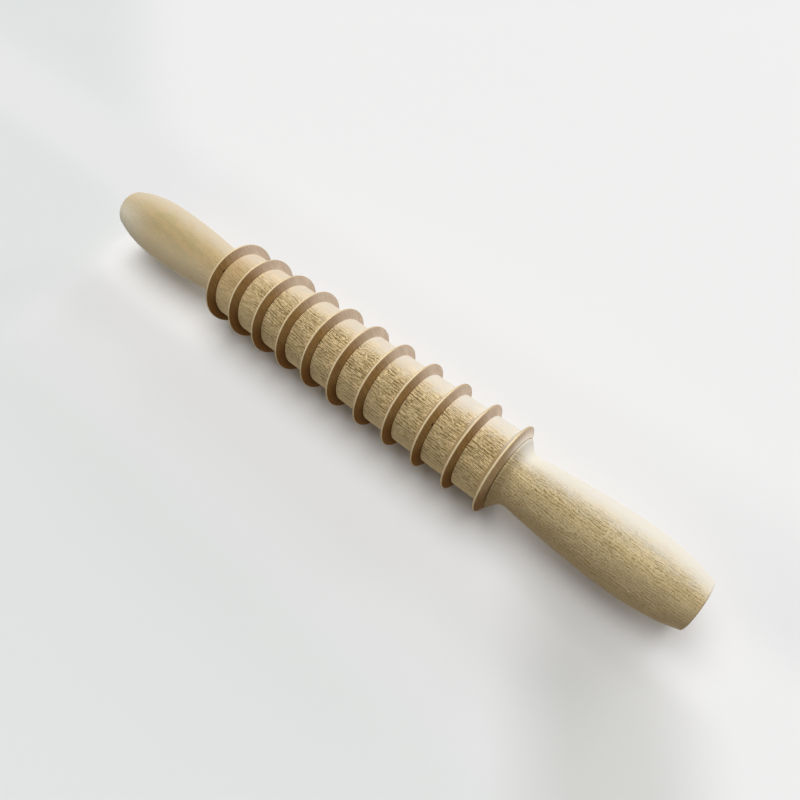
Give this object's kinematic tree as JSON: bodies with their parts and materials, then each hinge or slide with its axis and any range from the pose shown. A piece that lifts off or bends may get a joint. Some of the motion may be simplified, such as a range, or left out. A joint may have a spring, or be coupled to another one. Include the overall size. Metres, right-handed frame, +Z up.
{
  "type": "pasta cutter rolling pin",
  "caption": "Wooden rolling pin whose barrel carries narrow raised cutting rings that slice rolled pasta dough into even wide ribbons, with a swelling handle at each end.",
  "frame": {"origin": "the middle of the pin on its turning axis, which is also the middle of its box", "axes": "+X along the turning axis towards the near handle, +Z up, +Y to the far side of a cook who holds the near handle in the right hand"},
  "size_m": [0.3576, 0.045, 0.045],
  "materials": {
    "beech": "bare, finely sanded",
    "beech_end_grain": "bare, turned across the grain",
    "spindle_steel": "drawn bar",
    "bush_nylon": "as moulded"
  },
  "bodies": {
    "grip": {"spindle": "spindle_steel", "near_handle": "beech", "far_handle": "beech", "near_thrust_washer": "spindle_steel", "far_thrust_washer": "spindle_steel"},
    "barrel": {"barrel_core": "beech", "cutting_ring_01": "beech_end_grain", "cutting_ring_02": "beech_end_grain", "cutting_ring_03": "beech_end_grain", "cutting_ring_04": "beech_end_grain", "cutting_ring_05": "beech_end_grain", "cutting_ring_06": "beech_end_grain", "cutting_ring_07": "beech_end_grain", "cutting_ring_08": "beech_end_grain", "cutting_ring_09": "beech_end_grain", "cutting_ring_10": "beech_end_grain", "cutting_ring_11": "beech_end_grain", "near_bush": "bush_nylon", "far_bush": "bush_nylon"}
  },
  "joints": [
    {"name": "barrel_spin", "type": "hinge", "parent": "grip", "child": "barrel", "pos_m": [0, 0, 0], "axis": [1, 0, 0], "continuous": true}
  ]
}
